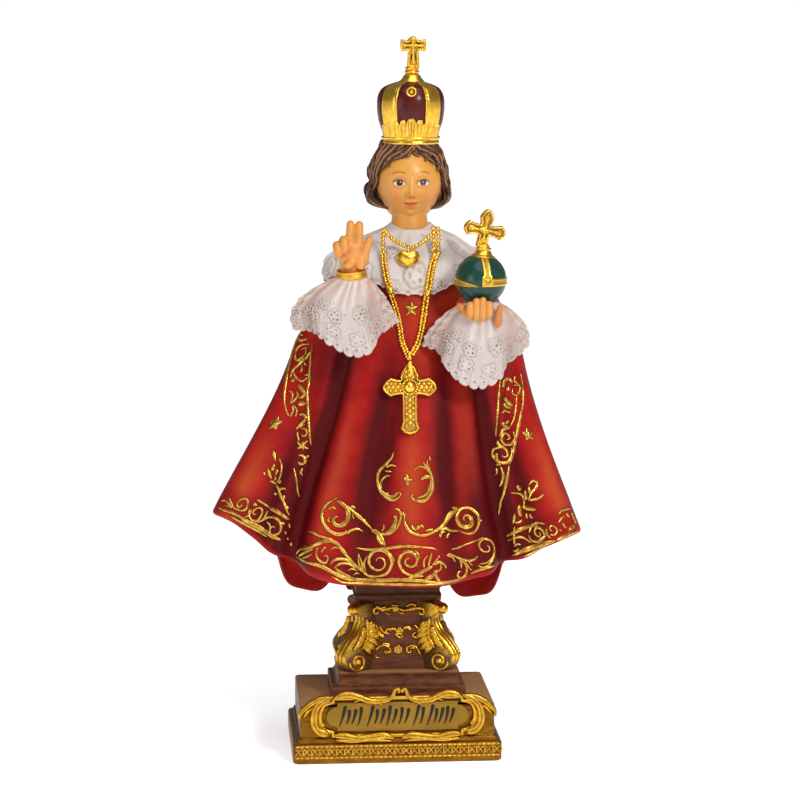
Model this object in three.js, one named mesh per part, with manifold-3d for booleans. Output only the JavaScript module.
// Infant of Prague statuette: a painted resin figure, its pedestal and a small name plate.
// Millimetres, +Z up, the figure faces -Y, the origin is under the middle of the base slab.
import * as THREE from 'three';
import { ParametricGeometry } from 'three/addons/geometries/ParametricGeometry.js';
import { mergeVertices } from 'three/addons/utils/BufferGeometryUtils.js';
import Module from 'manifold-3d';

const wasm = await Module();
wasm.setup();
const { Manifold, Mesh } = wasm;

// Driving dimensions of the pedestal
const SLAB_WIDTH = 58.2;
const SLAB_DEPTH = 43;
const SLAB_HEIGHT = 5.6;
const SLAB_CORNER_RADIUS = 1.6;
const BLOCK_WIDTH = 54.2;
const BLOCK_DEPTH = 38;
const BLOCK_HEIGHT = 10.6;
const BLOCK_SETBACK = 1; // the block stands this far forward of the slab's centre line
const FILLET_HEIGHT = 1.4; // the small step where the block meets the slab
const FILLET_REACH = 0.5;
const SHAFT_CENTRE_Y = -2.2;
const SHAFT_CENTRE_X = 0.8; // the casting stands a little off the middle of its block
const FOOT_WIDTH = 37.6;
const FOOT_DEPTH = 25;
const FOOT_RISER_HEIGHT = 3.8;
const FOOT_MOULDING_HEIGHT = 4;
const FOOT_MOULDING_STEP = 1.9; // how far the moulding draws in towards the shaft
const SHAFT_HEIGHT = 19.8;
const SHAFT_FOOT_WIDTH = 28;
const SHAFT_FOOT_DEPTH = 16;
const SHAFT_TOP_WIDTH = 20.5;
const SHAFT_TOP_DEPTH = 13.5;
const CAP_WIDTH = 24.4;
const CAP_DEPTH = 17.6;
const CAP_HEIGHT = 13.9;
const CONSOLE_THICKNESS = 5.6;
const CONSOLE_TURN = 32; // degrees from the side towards the corner
const CONSOLE_KNOB = [4.8, 17.6, 1.6]; // the upper curl: out, up and radius
const CONSOLE_EYE = [4.9, 3.1, 3]; // the lower volute: out, up and radius

// Driving dimensions of the name plate and its cartouche
const PLATE_LENGTH = 33.5;
const PLATE_HEIGHT = 8.4;
const PLATE_LIFT = 7.5; // from the slab's top to the plate's middle
const PLATE_LOBE_RADIUS = 3.1;
const PLATE_THICKNESS = 0.5;
const CARTOUCHE_RAIL = 2.1; // width of the cartouche's moulding
const CARTOUCHE_RELIEF = 1.7;
const CARTOUCHE_GAP = 0.9; // between the plate's edge and the moulding
const CREST_THICKNESS = 1.8; // behind the plate, where the cartouche stands above the block

// Driving dimensions of the figure
const FIGURE_HEIGHT = 150; // from the hem's front to the tip of the crown's cross
const GLUE_GAP = 0.3; // clearance between pieces that rest on each other

const DEGREE = Math.PI / 180;
const DRAWN_HEIGHT = 150; // the figure below is drawn at this height, over a seat at DRAWN_SEAT
const DRAWN_SEAT = 50;
const MERGE_DISTANCE = 1e-4;
const FINEST_STEP = 0.08; // slivers thinner than this are smoothed away

const lerp = (a, b, t) => a + (b - a) * t;
const clamp01 = (t) => Math.min(1, Math.max(0, t));
const smooth = (t) => clamp01(t) ** 2 * (3 - 2 * clamp01(t));
const bump = (x, centre, width) => Math.exp(-(((x - centre) / width) ** 2));
const degreesApart = (a, b) => ((((a - b) % 360) + 540) % 360) - 180;

// Turns a closed three.js geometry into a solid: shared points merged, flat triangles dropped, faces out
function solid(geometry) {
  const bare = geometry.clone();
  for (const name of Object.keys(bare.attributes)) if (name !== 'position') bare.deleteAttribute(name);
  const merged = mergeVertices(bare, MERGE_DISTANCE);
  const corners = merged.attributes.position;
  const index = merged.index.array;
  const kept = [];
  let volume = 0;
  for (let i = 0; i < index.length; i += 3) {
    const [a, b, c] = [index[i], index[i + 1], index[i + 2]];
    if (a === b || b === c || c === a) continue;
    kept.push(a, b, c);
    const [p, q, r] = [a, b, c].map((k) => new THREE.Vector3().fromBufferAttribute(corners, k));
    volume += p.dot(q.cross(r));
  }
  if (volume < 0) kept.reverse();
  return new Manifold(new Mesh({
    numProp: 3,
    vertProperties: new Float32Array(corners.array),
    triVerts: new Uint32Array(kept),
  }));
}

// A closed skin: point(turn, rise) gives [x, y, z], turn runs once around, and the ends are closed to a point
function skin(point, around, along) {
  const ends = [0, 1].map((rise) => {
    const sum = new THREE.Vector3();
    for (let i = 0; i < around; i += 1) sum.add(new THREE.Vector3(...point(i / around, rise)));
    return sum.divideScalar(around);
  });
  const rows = along + 2;
  const surface = (u, v, target) => {
    const row = Math.round(v * rows);
    if (row === 0) target.copy(ends[0]);
    else if (row === rows) target.copy(ends[1]);
    else target.set(...point(u === 1 ? 0 : u, (row - 1) / along));
  };
  return solid(new ParametricGeometry(surface, around, rows));
}

// A limb: a round tube through points, with a radius at each point and rounded ends
function limb(points, radii, sides = 8, steps = 6) {
  const curve = new THREE.CatmullRomCurve3(points.map((p) => new THREE.Vector3(...p)));
  const frames = curve.computeFrenetFrames(steps, false);
  return skin((turn, rise) => {
    const row = Math.round(rise * steps);
    const place = curve.getPointAt(row / steps);
    const along = (row / steps) * (radii.length - 1);
    const k = Math.min(radii.length - 2, Math.floor(along));
    const endShare = row === 0 || row === steps ? 0.72 : 1;
    const radius = lerp(radii[k], radii[k + 1], along - k) * endShare;
    const angle = turn * 2 * Math.PI;
    place.addScaledVector(frames.normals[row], radius * Math.cos(angle));
    place.addScaledVector(frames.binormals[row], radius * Math.sin(angle));
    return [place.x, place.y, place.z];
  }, sides, steps);
}

// An upright turned shape from [radius, height] pairs, standing on the origin
function turned(profile, sides) {
  const points = [[0, profile[0][1]], ...profile, [0, profile[profile.length - 1][1]]];
  const lathe = new THREE.LatheGeometry(points.map(([r, z]) => new THREE.Vector2(r, z)), sides);
  return solid(lathe.rotateX(90 * DEGREE));
}

// A flat shape drawn in X and Z, given a thickness and centred on Y = 0
function upright(shape, thickness, curveSegments = 4) {
  const geometry = new THREE.ExtrudeGeometry(shape, { depth: thickness, bevelEnabled: false, curveSegments });
  return solid(geometry.translate(0, 0, -thickness / 2).rotateX(90 * DEGREE));
}

// A rectangular frustum with rounded corners: rows of [width, depth, height]
function moulding(rows, centreY, cornerRadius, cornerSteps = 1) {
  const corners = [[1, 1], [-1, 1], [-1, -1], [1, -1]];
  const outline = corners.flatMap(([sx, sy], k) => Array.from({ length: cornerSteps + 1 }, (_, i) => {
    const angle = (k * 90 + (90 * i) / cornerSteps) * DEGREE;
    return { sx, sy, x: Math.cos(angle) * cornerRadius, y: Math.sin(angle) * cornerRadius };
  }));
  return skin((turn, rise) => {
    const corner = outline[Math.round(turn * outline.length) % outline.length];
    const [width, depth, height] = rows[Math.round(rise * (rows.length - 1))];
    return [
      corner.sx * (width / 2 - cornerRadius) + corner.x,
      centreY + corner.sy * (depth / 2 - cornerRadius) + corner.y,
      height,
    ];
  }, outline.length, rows.length - 1);
}

const together = (solids) => Manifold.union(solids);

// The figure's drawing, in millimetres of a statuette 200 mm tall

// The body leans a little: the middle of its cross-section at each height
const bodyCentreX = (z) => 0.4 + 4.7 * smooth((z - 60) / 75);
const BODY_CENTRE_Y = -1;

const ROBE = {
  top: 137,
  foldTop: 129,
  shoulder: [22, 12.5], // half width and half depth at the shoulders
  spread: [30.5, 13.5], // what they gain down to the hem
  drop: 77,
  frontHem: 50.8,
  sideHem: 65,
  sideHemTilt: 3.2, // the hem hangs lower on the orb's side
  hemRise: [10, 66], // the angles between which the hem climbs from the front to the side
  hemNotch: [36.5, 3, 1.3], // angle, width and rise where the front panel tucks under the wings
  backHem: 52,
  backLobe: [154, 12.5, 17.8], // angle, width and drop of the two lobes at the back
  lip: 1.7,
  recess: 58,
  recessSize: [16, 12.5],
};

// Ridges and valleys of the robe: angle from the front, angular width, height of the ridge at the hem
const ROBE_FOLDS = [
  [-24, 7, 1.3], [-10, 5, -1.4], [9, 8, 1.6], [21.5, 5, -1.5], [29, 4, 0.9],
  [-35, 4.6, -5.2], [35, 4.6, -5.2], [-75, 15, 4.4], [71, 15, 3], [-50, 7, -1], [50, 7, -1],
  [-100, 9, -2.6], [100, 9, -2.6], [-122, 10, 1.8], [122, 10, 1.8], [-137, 7, -2.6], [137, 7, -2.6],
  [-152, 9, 2.2], [152, 9, 2.2], [-167, 6, -1.8], [167, 6, -1.8], [180, 8, 1.6],
];

function robeHem(angle) {
  const front = Math.cos(angle * DEGREE);
  const side = Math.sin(angle * DEGREE);
  const around = Math.abs(degreesApart(angle, 0));
  const sideHem = ROBE.sideHem - ROBE.sideHemTilt * side;
  if (front > 0) {
    const [notchAngle, notchWidth, notchRise] = ROBE.hemNotch;
    const climb = smooth((around - ROBE.hemRise[0]) / (ROBE.hemRise[1] - ROBE.hemRise[0]));
    return lerp(ROBE.frontHem, sideHem, climb) + notchRise * bump(around, notchAngle, notchWidth);
  }
  const [lobeAngle, lobeWidth, lobeDrop] = ROBE.backLobe;
  const lobe = lobeDrop * Math.exp(-(((around - lobeAngle) / lobeWidth) ** 4));
  return lerp(ROBE.backHem, sideHem, Math.abs(side) ** 1.2) - lobe;
}

function robeFold(angle, z) {
  const strength = clamp01((ROBE.foldTop - z) / (ROBE.foldTop - ROBE.frontHem)) ** 1.15;
  const height = ROBE_FOLDS.reduce((sum, [at, width, rise]) => sum + rise * bump(degreesApart(angle, at), 0, width), 0);
  return height * strength;
}

function robePoint(angle, z, inset = 0) {
  const fall = clamp01((ROBE.top - z) / ROBE.drop);
  const halfWidth = ROBE.shoulder[0] + ROBE.spread[0] * fall ** 1.15;
  const halfDepth = ROBE.shoulder[1] + ROBE.spread[1] * fall ** 1.1;
  const [s, c] = [Math.sin(angle * DEGREE), Math.cos(angle * DEGREE)];
  const normal = new THREE.Vector2(halfDepth * s, -halfWidth * c).normalize();
  const out = robeFold(angle, z) - inset;
  return [
    bodyCentreX(z) + halfWidth * s + normal.x * out,
    BODY_CENTRE_Y - halfDepth * c + normal.y * out,
    z,
  ];
}

// The robe: from the hollow under the hem, over the lip, and up to the shoulders
function robe() {
  const rows = 10;
  const under = 3; // rows under the hem
  return skin((turn, rise) => {
    const angle = turn * 360 - 180;
    const row = Math.round(rise * (rows + under));
    const hem = robeHem(angle);
    if (row === 0) {
      const [width, depth] = ROBE.recessSize;
      return [width * Math.sin(angle * DEGREE), SHAFT_CENTRE_Y - depth * Math.cos(angle * DEGREE), ROBE.recess];
    }
    if (row === 1) {
      const [x, y] = robePoint(angle, hem + 4, 9);
      return [x, y, lerp(hem + 3, ROBE.recess, 0.25)];
    }
    if (row === 2) return robePoint(angle, hem, ROBE.lip);
    const share = (row - under) / rows;
    return robePoint(angle, lerp(hem, ROBE.top, share ** 0.9) + (row === under ? 0.8 : 0));
  }, 64, rows + under);
}

// The lace cape collar over the shoulders, with a bib in front
function collar() {
  const rows = [ // half width, half depth, height
    [5.4, 5.2, 147], [8, 6.6, 144.6], [15, 9.6, 142], [21, 12.2, 139], [24.4, 14.2, 135.6],
  ];
  const hem = (angle) => {
    const bib = bump(degreesApart(angle, 2), 0, 19);
    return 134.2 - 5.6 * bib - 1.6 * bump(Math.abs(degreesApart(angle, 0)), 180, 60);
  };
  const steps = rows.length;
  return skin((turn, rise) => {
    const angle = turn * 360 - 180;
    const row = Math.round(rise * (steps + 1));
    const [s, c] = [Math.sin(angle * DEGREE), Math.cos(angle * DEGREE)];
    const scallop = 0.55 * Math.abs(Math.sin(turn * Math.PI * 18));
    if (row > steps) return [bodyCentreX(136) + 16 * s, BODY_CENTRE_Y - 9 * c, 136];
    if (row === steps) {
      const last = rows[steps - 1];
      const [x, y] = robePoint(angle, hem(angle), -1.2);
      return [lerp(x, bodyCentreX(135) + last[0] * s, 0.45), lerp(y, BODY_CENTRE_Y - last[1] * c, 0.3), hem(angle) + scallop];
    }
    const [halfWidth, halfDepth, z] = rows[row];
    return [bodyCentreX(z) - 0.6 * (row / steps) + halfWidth * s, BODY_CENTRE_Y - halfDepth * c, z];
  }, 36, steps + 1);
}

// A hanging lace sleeve: a fluted bell with a middle lobe, two side lobes and a scalloped hem
function laceSleeve({ wrist, mouth, wristSize, mouthSize, hem, scallops }) {
  const rows = 5;
  return skin((turn, rise) => {
    const angle = turn * 360 - 180;
    const row = Math.round(rise * (rows + 1));
    const t = Math.min(1, row / rows);
    const [s, c] = [Math.sin(angle * DEGREE), Math.cos(angle * DEGREE)];
    const valleys = bump(angle, -52, 13) + bump(angle, 50, 13);
    const flutes = 0.035 * Math.cos(angle * DEGREE * 11);
    const spread = t ** 0.8 * (1 - 0.26 * t * valleys + flutes * t);
    const inward = row > rows ? 0.55 : 1;
    const halfWidth = lerp(wristSize[0], mouthSize[0], spread) * inward;
    const halfDepth = lerp(wristSize[1], mouthSize[1], spread) * inward;
    const drop = lerp(hem.side + hem.tilt * s, hem.front, clamp01(c) ** 1.3);
    const scallop = 0.7 * Math.abs(Math.sin(turn * Math.PI * scallops)) * (row === rows ? 1 : 0);
    const lift = row > rows ? 2.5 : 0;
    return [
      lerp(wrist[0], mouth[0], t) + halfWidth * s,
      lerp(wrist[1], mouth[1], t) - halfDepth * c,
      lerp(wrist[2], drop, t) + scallop + lift,
    ];
  }, 36, rows + 1);
}

const BLESSING_SLEEVE = {
  wrist: [-12.6, -22.5, 138], mouth: [-14, -17.5], wristSize: [4.6, 3.9], mouthSize: [14.2, 9],
  hem: { front: 114, side: 123.5, tilt: -2 }, scallops: 18,
};
const ORB_SLEEVE = {
  wrist: [22.6, -24.5, 129], mouth: [21.5, -17.5], wristSize: [5, 4.2], mouthSize: [14.9, 9.5],
  hem: { front: 105.5, side: 117.5, tilt: -2.4 }, scallops: 19,
};

// The red upper sleeves that carry the forearms forward out of the cape
function upperSleeves() {
  return together([
    limb([[-12.4, -4, 131.2], [-17, -10, 130], [-13, -19, 133]], [8, 7.5, 5], 10, 4),
    limb([[20, -4, 130], [24, -11, 126], [22.6, -20, 126]], [8, 7.5, 5.5], 10, 4),
  ]);
}

// The raised right hand: two fingers up, two folded, thumb out, in a plain cuff
function blessingHand() {
  const palm = limb([[-12.7, -22.8, 137.5], [-12.5, -24, 141], [-12.7, -24.6, 146]], [3.2, 3.9, 3.6], 10, 4);
  const fingers = [
    [[[-11, -24.6, 145], [-10.95, -24.9, 148.5], [-10.9, -24.7, 151.2]], [1.15, 1.1, 0.95]],
    [[[-13.1, -24.6, 145], [-13.15, -24.9, 148.5], [-13.1, -24.7, 151.4]], [1.15, 1.1, 0.95]],
    [[[-9.6, -24.5, 141.5], [-8.4, -25.2, 144.6], [-7.5, -25.4, 147.2]], [1.5, 1.1, 0.85]],
    [[[-15.2, -25, 146], [-15.4, -27.2, 145.4], [-15.2, -26.6, 142.4]], [1.9, 1.7, 1.5]],
  ].map(([points, radii]) => limb(points, radii, 5, 3));
  const cuff = turned([[3.9, 0], [4.5, 0.4], [4.5, 2], [4, 2.4]], 14).rotate([12, -4, 0]).translate([-12.7, -22.8, 136]);
  return together([palm, ...fingers, cuff]);
}

// The left hand, palm up, whose fingers cup the orb
function orbHand() {
  const palm = limb([[22.4, -20, 128.2], [22.4, -25, 128], [22.3, -28.6, 128.6]], [3.6, 4.4, 3.8], 10, 3);
  const fingers = Array.from({ length: 4 }, (_, k) => {
    const x = 18.9 + 2.25 * k;
    return limb([[x, -27, 125.8], [x, -30.6, 127], [x, -31.4, 130.4]], [1.3, 1.25, 1], 5, 3);
  });
  const thumb = limb([[26.8, -24, 127], [29, -26, 129], [29, -27.6, 131.6]], [1.5, 1.3, 1], 6, 3);
  return together([palm, ...fingers, thumb]);
}

// A cross with flared ends, drawn in X and Z from its foot
function flaredCross(height, span, arm, flare, crossing) {
  const half = arm / 2;
  const end = flare / 2;
  const drawn = new THREE.Shape();
  const reach = span / 2;
  drawn.moveTo(-half * 1.15, 0);
  drawn.lineTo(-half, crossing - half);
  drawn.quadraticCurveTo(-reach * 0.62, crossing - half, -reach * 0.8, crossing - end);
  drawn.quadraticCurveTo(-reach * 1.18, crossing, -reach * 0.8, crossing + end);
  drawn.quadraticCurveTo(-reach * 0.62, crossing + half, -half, crossing + half);
  drawn.quadraticCurveTo(-half, height - flare, -end, height - flare * 0.55);
  drawn.quadraticCurveTo(0, height + flare * 0.55, end, height - flare * 0.55);
  drawn.quadraticCurveTo(half, height - flare, half, crossing + half);
  drawn.quadraticCurveTo(reach * 0.62, crossing + half, reach * 0.8, crossing + end);
  drawn.quadraticCurveTo(reach * 1.18, crossing, reach * 0.8, crossing - end);
  drawn.quadraticCurveTo(reach * 0.62, crossing - half, half, crossing - half);
  drawn.lineTo(half * 1.15, 0);
  return drawn;
}

const ORB_CENTRE = [22.2, -24.6, 135];
const ORB_RADIUS = 7;
const ORB_LEAN = 10; // degrees towards the figure's left

// The orb with its gilded belt, the stepped finial and the cross
function orb() {
  const ball = [-75, -50, -28, -11, -9, 9, 11, 28, 48].map((latitude) => {
    const radius = ORB_RADIUS + (Math.abs(latitude) < 10 ? 0.28 : 0);
    return [radius * Math.cos(latitude * DEGREE), radius * Math.sin(latitude * DEGREE)];
  });
  const finial = [[3, 5.4], [3, 6.2], [2.3, 6.5], [2.2, 7.5], [1.5, 7.8], [1.3, 9.3]];
  const body = turned([...ball, ...finial], 14);
  const cross = upright(flaredCross(10.2, 11.4, 2.5, 3.6, 4.4), 2, 2).rotate([0, 0, 14]).translate([0, 0, 8.8]);
  return together([body, cross]).rotate([0, ORB_LEAN, 0]).translate(ORB_CENTRE);
}

const HEAD_CENTRE = [4.6, -0.6, 160.2];
const HEAD_RISE = 11.2; // half the height of the egg
const FACE_SHARE = HEAD_RISE / 9.7; // the face below is laid out on an egg of half height 9.7

// Neck and head: an egg with a child's full cheeks, brow, nose, lips and chin
function head() {
  const neck = limb([[4.6, -1.2, 141], [4.7, -1.3, 147], [4.5, -1, 153]], [6.4, 5.3, 5.4], 10, 3);
  const features = [ // across, up, width, height and relief of each form of the face
    [0, 0.4, 1.1, 2.2, 0.5], [0, -1.5, 1.35, 1, 1.75], [0, -4, 2, 0.62, 0.75], [0, -5, 1.7, 0.6, 0.5],
    [0, -7.2, 2.2, 1.4, 0.75], [-3.2, 0.6, 1.7, 1.05, -0.7], [3.2, 0.6, 1.7, 1.05, -0.7],
    [-4.3, -3, 2.6, 2.4, 0.5], [4.3, -3, 2.6, 2.4, 0.5], [0, 3.6, 5, 1.5, 0.35],
  ];
  const skull = skin((turn, rise) => {
    const angle = turn * 360 - 180;
    const tilt = lerp(-86, 86, rise) * DEGREE;
    const [s, c] = [Math.sin(angle * DEGREE), Math.cos(angle * DEGREE)];
    const level = Math.cos(tilt);
    const jaw = 1 - 0.1 * smooth(-Math.sin(tilt) * 1.4) * clamp01(c + 0.4);
    const x = 8.7 * level * s * jaw;
    const z = HEAD_RISE * Math.sin(tilt);
    const facing = clamp01(c * 1.6);
    const relief = features.reduce((sum, [across, up, width, height, rise2]) => (
      sum + rise2 * bump(x, across, width) * bump(z / FACE_SHARE, up, height)), 0) * facing;
    const y = -(9.4 * level + relief) * c * (c > 0 ? jaw : 1.02);
    return [HEAD_CENTRE[0] + x, HEAD_CENTRE[1] + y, HEAD_CENTRE[2] + z];
  }, 22, 12);
  return together([neck, skull]);
}

const HAIR_PROFILE = [ // reach from the head's axis, and height
  [6.2, 152.4], [9.6, 153.6], [11.2, 156], [11, 159], [10.4, 162.4], [9.5, 165.4], [8.6, 168], [7.2, 170.8],
];
const HAIR_LOCKS = 11;

// The hair: a bob of wavy locks that leaves the face free below the brow
function hair() {
  const last = HAIR_PROFILE.length - 1;
  return skin((turn, rise) => {
    const angle = turn * 360 - 180;
    const [reach, z] = HAIR_PROFILE[Math.round(rise * last)];
    const open = smooth((66 - Math.abs(angle)) / 20) * smooth((169.4 - z) / 3);
    const lock = 0.6 * Math.cos(angle * DEGREE * HAIR_LOCKS + 1.1 * Math.sin(z / 2.2));
    const out = reach + lock - open * (reach - 5.5);
    return [
      HEAD_CENTRE[0] + out * Math.sin(angle * DEGREE),
      HEAD_CENTRE[1] + 1.2 - out * Math.cos(angle * DEGREE),
      z + 0.5 * Math.cos(angle * DEGREE * HAIR_LOCKS) * (1 - rise),
    ];
  }, 36, last);
}

const CROWN_FOOT = [5.1, -0.4, 170.5];
const CROWN_BANDS = 4;
const CROWN_PROFILE = [ // radius and height, from the rim over the dome to the rings under the cross
  [7.6, 0], [7.8, 0.7], [7.7, 1.6], [8.4, 4.7], [8.8, 7.2], [9.25, 10], [9.2, 12], [8.6, 14.2], [7.2, 15.8],
  [2.8, 17.4], [2.1, 18.6], [2.1, 19.9], [1.5, 21],
];

// The crown: a circlet, a swelling dome with four broad bands, two rings and a cross
function crown() {
  const last = CROWN_PROFILE.length - 1;
  const dome = skin((turn, rise) => {
    const angle = turn * 2 * Math.PI + 45 * DEGREE;
    const [radius, z] = CROWN_PROFILE[Math.round(rise * last)];
    const band = smooth(Math.cos(CROWN_BANDS * (angle - 45 * DEGREE)) / 0.4 + 0.5);
    const reach = radius + (z > 6 && z < 16 ? 0.3 * band - 0.15 : 0);
    return [reach * Math.sin(angle), -reach * Math.cos(angle), z];
  }, 24, last);
  const cross = upright(flaredCross(8.9, 8.2, 3, 3.6, 5.9), 2.2, 2).translate([0.3, 0, 20.8]);
  return together([dome, cross]).translate(CROWN_FOOT);
}

// The chains, the heart and the pectoral cross that lie in relief on the breast
function jewels() {
  const strand = (points, radius) => limb(points, [radius, radius], 4, 8);
  const long = [[-3.3, -7.6, 146.4], [-3.4, -12.4, 140.6], [-2, -16, 132.6], [0.2, -17, 123.5], [3, -18, 117]];
  const longRight = [[11, -7.6, 146.4], [10.7, -12.8, 140.6], [9, -16.2, 132.6], [7, -17, 124], [3, -18, 117]];
  const short = [[-2.4, -7.6, 146.4], [-0.2, -8.6, 144.7], [3.6, -9.9, 143.2], [7.8, -8.7, 144.8], [10, -7.6, 146.4]];
  const heartShape = new THREE.Shape();
  heartShape.moveTo(0, 1.1);
  heartShape.bezierCurveTo(0.8, 2.6, 3, 1.9, 2.4, -0.4);
  heartShape.bezierCurveTo(2, -1.9, 0.6, -2.4, 0, -2.5);
  heartShape.bezierCurveTo(-0.6, -2.4, -2, -1.9, -2.4, -0.4);
  heartShape.bezierCurveTo(-3, 1.9, -0.8, 2.6, 0, 1.1);
  const heart = upright(heartShape, 3.4, 3).translate([3.3, -12.6, 140.4]);
  const cross = upright(flaredCross(18.2, 13.8, 3.1, 4.3, 12), 2.4, 2).rotate([-9, 0, 0]).translate([3.3, -21.6, 93.6]);
  return together([strand(long, 0.95), strand(longRight, 1.05), strand(short, 0.85), heart, cross]);
}

// The whole casting, without the small voids closed in between its forms, at its real size over the pedestal
function figure(seatHeight) {
  const casting = together([
    robe(), collar(), laceSleeve(BLESSING_SLEEVE), laceSleeve(ORB_SLEEVE), upperSleeves(),
    blessingHand(), orbHand(), orb(), head(), hair(), crown(), jewels(),
  ]);
  const scale = FIGURE_HEIGHT / DRAWN_HEIGHT;
  const placed = casting.translate([0, 0, -DRAWN_SEAT]).scale(scale).translate([0, 0, seatHeight]);
  const [whole] = placed.simplify(FINEST_STEP).decompose().sort((a, b) => b.volume() - a.volume());
  return whole;
}

// Heights of the pedestal's courses, from the table up
const BLOCK_TOP = SLAB_HEIGHT + BLOCK_HEIGHT;
const FOOT_TOP = BLOCK_TOP + FOOT_RISER_HEIGHT + FOOT_MOULDING_HEIGHT;
const SHAFT_TOP = FOOT_TOP + SHAFT_HEIGHT;
const CAP_TOP = SHAFT_TOP + CAP_HEIGHT;
const BLOCK_CENTRE_Y = -BLOCK_SETBACK;
const BLOCK_FRONT = BLOCK_CENTRE_Y - BLOCK_DEPTH / 2;
const PLATE_MIDDLE = SLAB_HEIGHT + PLATE_LIFT;

// The S-shaped side of a corner console: small volute above, large one below
function consoleShape() {
  const rise = SHAFT_HEIGHT;
  const [knobOut, knobUp, knobRadius] = CONSOLE_KNOB;
  const drawn = new THREE.Shape();
  drawn.moveTo(-2, rise * 0.98);
  drawn.lineTo(knobOut - 0.6, rise * 0.98);
  drawn.absarc(knobOut, knobUp, knobRadius, 100 * DEGREE, -120 * DEGREE, true);
  drawn.bezierCurveTo(1.2, rise * 0.64, rise * 0.3, rise * 0.5, rise * 0.42, rise * 0.3);
  drawn.bezierCurveTo(rise * 0.5, rise * 0.16, rise * 0.43, -rise * 0.015, CONSOLE_EYE[0] + 0.3, 0);
  drawn.lineTo(-2, 0);
  return drawn;
}

function consoles() {
  const blank = upright(consoleShape(), CONSOLE_THICKNESS, 4);
  const [eyeOut, eyeUp, eyeRadius] = CONSOLE_EYE;
  const eye = upright(new THREE.Shape().absarc(0, 0, eyeRadius, 0, 2 * Math.PI), CONSOLE_THICKNESS + 1.2, 4)
    .translate([eyeOut, 0, eyeUp]);
  const bracket = together([blank, eye]);
  const places = [[1, -1], [1, 1], [-1, 1], [-1, -1]];
  return together(places.map(([sx, sy]) => {
    const turn = sx > 0 ? sy * CONSOLE_TURN : 180 - sy * CONSOLE_TURN;
    return bracket.rotate([0, 0, turn]).translate([
      sx * (SHAFT_TOP_WIDTH / 2 - 1.4),
      SHAFT_CENTRE_Y + sy * (SHAFT_TOP_DEPTH / 2 - 1.2),
      FOOT_TOP - GLUE_GAP,
    ]);
  }));
}

// The plate's outline: a straight bar with a round lobe at each end, grown by a margin
function plateOutline(margin) {
  const half = PLATE_LENGTH / 2 + margin;
  const rise = PLATE_HEIGHT / 2 + margin;
  const lobe = PLATE_LOBE_RADIUS + margin;
  const drawn = new THREE.Shape();
  drawn.moveTo(-half, -rise);
  drawn.lineTo(half, -rise);
  drawn.lineTo(half, -lobe);
  drawn.absarc(half, 0, lobe, -90 * DEGREE, 90 * DEGREE, false);
  drawn.lineTo(half, rise);
  drawn.lineTo(-half, rise);
  drawn.lineTo(-half, lobe);
  drawn.absarc(-half, 0, lobe, 90 * DEGREE, 270 * DEGREE, false);
  return drawn;
}

// The cartouche: a raised moulding around the plate, with scrolled leaves at top and sides
function cartouche() {
  const outer = upright(plateOutline(CARTOUCHE_GAP + CARTOUCHE_RAIL), CARTOUCHE_RELIEF, 5);
  const hole = upright(plateOutline(CARTOUCHE_GAP), CARTOUCHE_RELIEF * 3, 5);
  const rise = PLATE_HEIGHT / 2 + CARTOUCHE_GAP + CARTOUCHE_RAIL / 2;
  const half = PLATE_LENGTH / 2 + PLATE_LOBE_RADIUS + CARTOUCHE_GAP;
  const leaf = CARTOUCHE_RAIL / 2;
  const scrolls = [-1, 1].flatMap((side) => [
    limb([[side * 1.6, 0, rise], [side * 5, 0, rise + 0.3], [side * 10, 0, rise + 1.5], [side * 16, 0, rise + 0.4]],
      [leaf * 1.2, leaf, leaf], 5, 5),
    limb([[side * (half - 3), 0, rise - 0.2], [side * (half + 1), 0, rise - 3], [side * (BLOCK_WIDTH / 2 - 1.4), 0, rise - 4.4]],
      [leaf, leaf * 1.1, leaf * 0.8], 5, 4),
    limb([[side * 1.4, 0, -rise], [side * 8, 0, -rise - 0.3], [side * 16, 0, -rise]], [leaf * 0.9, leaf * 1.1, leaf], 5, 3),
  ]);
  const backing = upright(plateOutline(CARTOUCHE_GAP + CARTOUCHE_RAIL / 2), CREST_THICKNESS, 5)
    .translate([0, CREST_THICKNESS / 2, 0]);
  const frame = together([outer, ...scrolls]).subtract(hole);
  return together([frame, backing]).translate([0, BLOCK_FRONT, PLATE_MIDDLE]);
}

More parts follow.
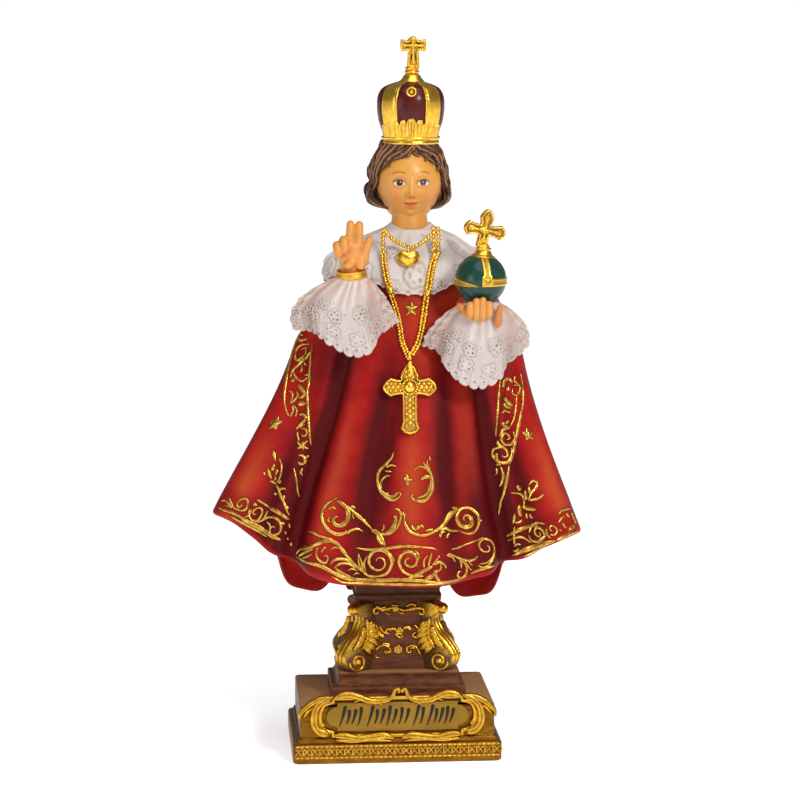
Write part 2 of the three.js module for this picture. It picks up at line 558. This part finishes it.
// The pedestal casting: slab, block with its cartouche, moulded foot, waisted shaft, consoles and cap
function pedestal(top) {
  const slab = moulding([
    [SLAB_WIDTH - 0.8, SLAB_DEPTH - 0.8, 0], [SLAB_WIDTH, SLAB_DEPTH, 0.5],
    [SLAB_WIDTH, SLAB_DEPTH, SLAB_HEIGHT - 0.4], [SLAB_WIDTH - 0.8, SLAB_DEPTH - 0.8, SLAB_HEIGHT],
  ], 0, SLAB_CORNER_RADIUS, 2);
  const block = moulding([
    [BLOCK_WIDTH + FILLET_REACH * 2, BLOCK_DEPTH + FILLET_REACH * 2, SLAB_HEIGHT - 1],
    [BLOCK_WIDTH + FILLET_REACH * 2, BLOCK_DEPTH + FILLET_REACH * 2, SLAB_HEIGHT + FILLET_HEIGHT],
    [BLOCK_WIDTH, BLOCK_DEPTH, SLAB_HEIGHT + FILLET_HEIGHT],
    [BLOCK_WIDTH, BLOCK_DEPTH, BLOCK_TOP - 0.4],
    [BLOCK_WIDTH - 0.8, BLOCK_DEPTH - 0.8, BLOCK_TOP],
  ], BLOCK_CENTRE_Y, 0.8, 2);
  const foot = moulding([
    [FOOT_WIDTH, FOOT_DEPTH, BLOCK_TOP - 1],
    [FOOT_WIDTH, FOOT_DEPTH, BLOCK_TOP + FOOT_RISER_HEIGHT],
    [FOOT_WIDTH + 1, FOOT_DEPTH + 1, BLOCK_TOP + FOOT_RISER_HEIGHT + 0.9],
    [FOOT_WIDTH - FOOT_MOULDING_STEP, FOOT_DEPTH - FOOT_MOULDING_STEP, FOOT_TOP - 1.2],
    [FOOT_WIDTH - 2 * FOOT_MOULDING_STEP, FOOT_DEPTH - 2 * FOOT_MOULDING_STEP, FOOT_TOP],
  ], SHAFT_CENTRE_Y, 1.2, 2);
  const waist = Array.from({ length: 7 }, (_, k) => {
    const t = k / 6;
    const draw = (1 - t) ** 1.8;
    return [
      lerp(SHAFT_TOP_WIDTH, SHAFT_FOOT_WIDTH, draw),
      lerp(SHAFT_TOP_DEPTH, SHAFT_FOOT_DEPTH, draw),
      lerp(FOOT_TOP - 1, SHAFT_TOP + 1, t),
    ];
  });
  const shaft = moulding(waist, SHAFT_CENTRE_Y, 1, 1);
  const cap = moulding([
    [SHAFT_TOP_WIDTH + 0.6, SHAFT_TOP_DEPTH + 0.6, SHAFT_TOP - 0.4],
    [CAP_WIDTH - 1.2, CAP_DEPTH - 1.2, SHAFT_TOP + 0.8],
    [CAP_WIDTH, CAP_DEPTH, SHAFT_TOP + 2.2],
    [CAP_WIDTH, CAP_DEPTH, top],
  ], SHAFT_CENTRE_Y, 0.8, 1);
  const column = together([foot, shaft, cap, consoles()]).translate([SHAFT_CENTRE_X, 0, 0]);
  return together([slab, block, column, cartouche()]).simplify(FINEST_STEP);
}

function nameplate() {
  return upright(plateOutline(0), PLATE_THICKNESS, 6)
    .translate([0, BLOCK_FRONT - PLATE_THICKNESS / 2 - GLUE_GAP, PLATE_MIDDLE]);
}

// A solid as a named mesh with its own material
function piece(name, made, colour, roughness, metalness) {
  const { vertProperties, triVerts } = made.getMesh();
  const geometry = new THREE.BufferGeometry();
  geometry.setAttribute('position', new THREE.BufferAttribute(vertProperties, 3));
  geometry.setIndex(new THREE.BufferAttribute(triVerts, 1));
  geometry.computeVertexNormals();
  const mesh = new THREE.Mesh(geometry, new THREE.MeshStandardMaterial({ color: colour, roughness, metalness }));
  mesh.name = name;
  return mesh;
}

// The seat is where the hem's front hangs; the cap reaches up into the hollow under the robe
const share = FIGURE_HEIGHT / DRAWN_HEIGHT;
const SEAT = CAP_TOP - (ROBE.recess - DRAWN_SEAT) * share;

const statuette = new THREE.Group();
statuette.add(
  piece('figure', figure(SEAT + GLUE_GAP), 0xa31f22, 0.45, 0),
  piece('pedestal', pedestal(CAP_TOP), 0x6f4436, 0.5, 0),
  piece('nameplate', nameplate(), 0xa98a4a, 0.3, 1),
);

export default statuette;
